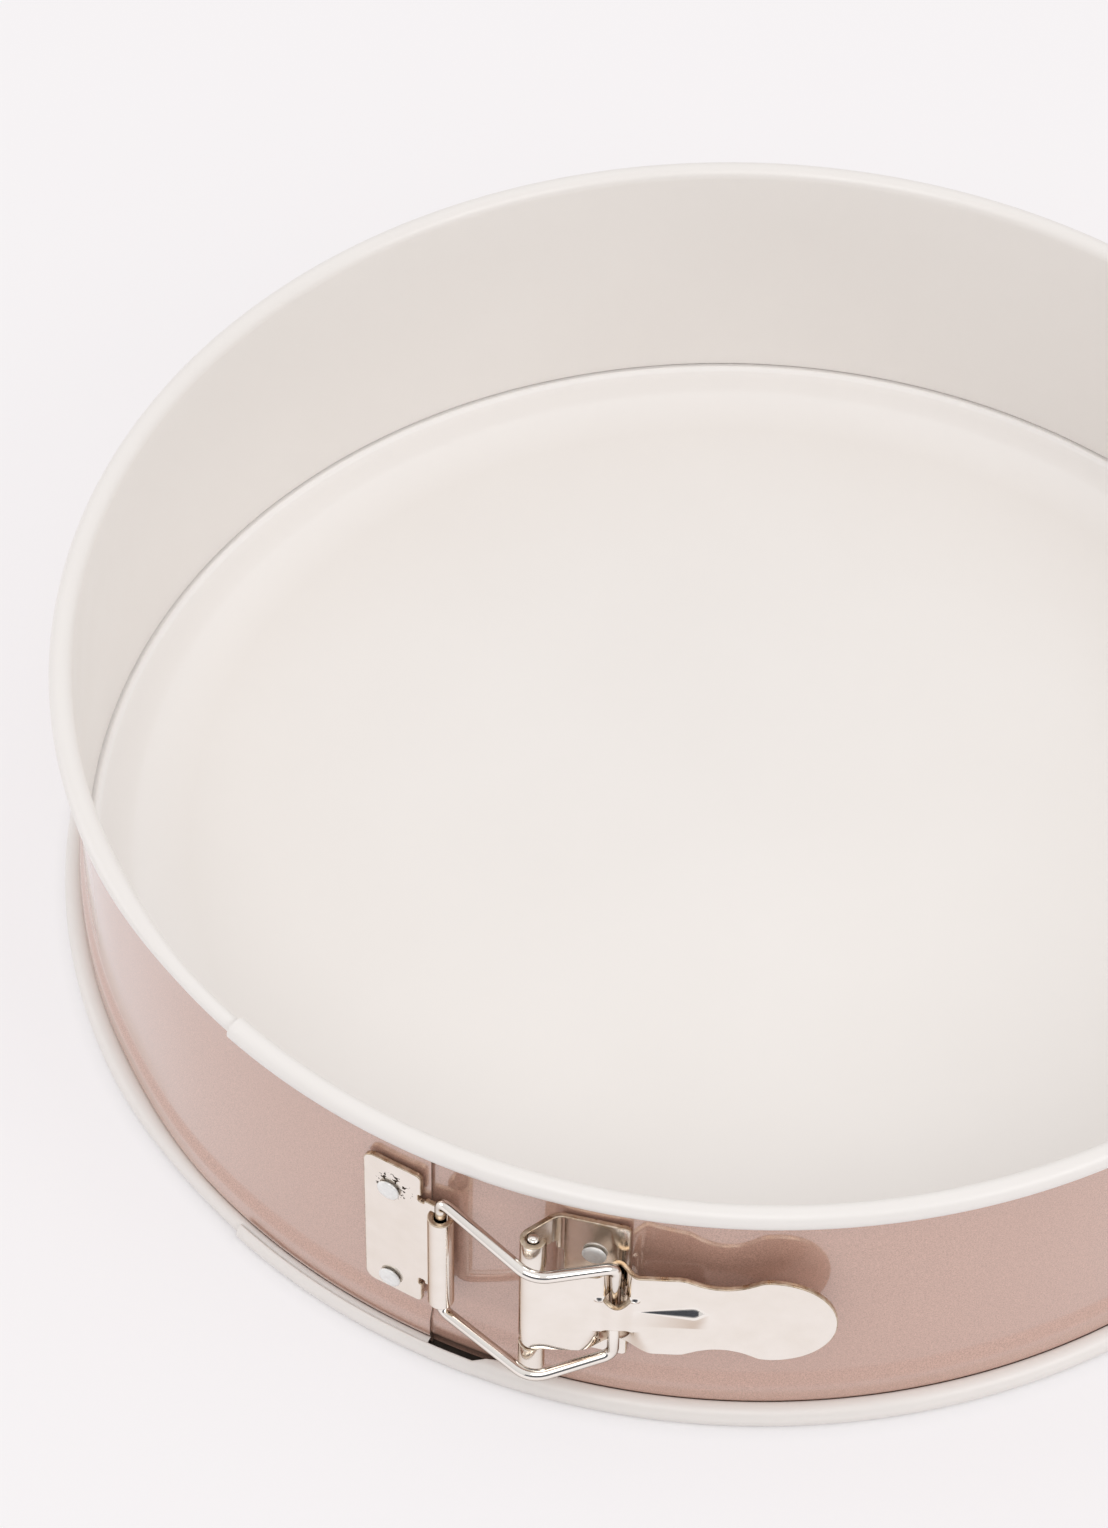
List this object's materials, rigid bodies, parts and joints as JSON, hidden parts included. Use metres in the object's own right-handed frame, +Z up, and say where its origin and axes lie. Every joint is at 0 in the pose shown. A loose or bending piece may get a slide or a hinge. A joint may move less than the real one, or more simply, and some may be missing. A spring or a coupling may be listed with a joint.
{
  "type": "springform cake pan",
  "caption": "Round springform cake pan: coated sheet-steel band with curled edges, a loose flat base in its groove, and an over-centre wire latch with a waisted lever.",
  "frame": {"origin": "the middle of the base's flat underside, on the pan's axis; the foot curl stands on the table 9.8 mm lower", "axes": "+Z up out of the pan, square to the base; the latch is at -Y, and its closed handle points to +X"},
  "size_m": [0.2686, 0.2733, 0.0659],
  "materials": {
    "rose_gold_coat": "glossy metallic outside, ivory ceramic non-stick inside",
    "ivory_ceramic_coat": "satin ceramic non-stick",
    "nickel_plate": "bright warm nickel plating with light wear",
    "rivet_aluminium": "dull set rivet heads"
  },
  "bodies": {
    "band": {"band": "rose_gold_coat", "bracket": "nickel_plate", "bracket_rivet_upper": "rivet_aluminium", "bracket_rivet_lower": "rivet_aluminium", "pivot_pin": "nickel_plate"},
    "base": {"base": "ivory_ceramic_coat"},
    "lever": {"lever": "nickel_plate"},
    "bail": {"bail": "nickel_plate"},
    "catch": {"catch_plate": "nickel_plate", "catch_rivet_upper": "rivet_aluminium", "catch_rivet_lower": "rivet_aluminium"}
  },
  "joints": [
    {"name": "base_lift", "type": "slide", "parent": "band", "child": "base", "axis": [0, 0, 1], "range_m": [0, 0.085], "deforming": ["band"]},
    {"name": "lever_swing", "type": "hinge", "parent": "band", "child": "lever", "pos_m": [-0.0359, -0.1326, 0.02672], "axis": [0, 0, -1], "range_deg": [0, 165], "deforming": ["band"]},
    {"name": "bail_swing", "type": "hinge", "parent": "lever", "child": "bail", "pos_m": [-0.0212, -0.1336, 0.02672], "axis": [0, 0, -1], "range_deg": [-149, 0]},
    {"name": "catch_swing", "type": "hinge", "parent": "bail", "child": "catch", "pos_m": [-0.05273, -0.12324, 0.02672], "axis": [0, 0, -1], "range_deg": [-11, 0]}
  ],
  "couplings": [
    {"joint": "bail_swing", "follows": "lever_swing", "ratio": -0.90201},
    {"joint": "catch_swing", "follows": "lever_swing", "ratio": -0.063257}
  ]
}
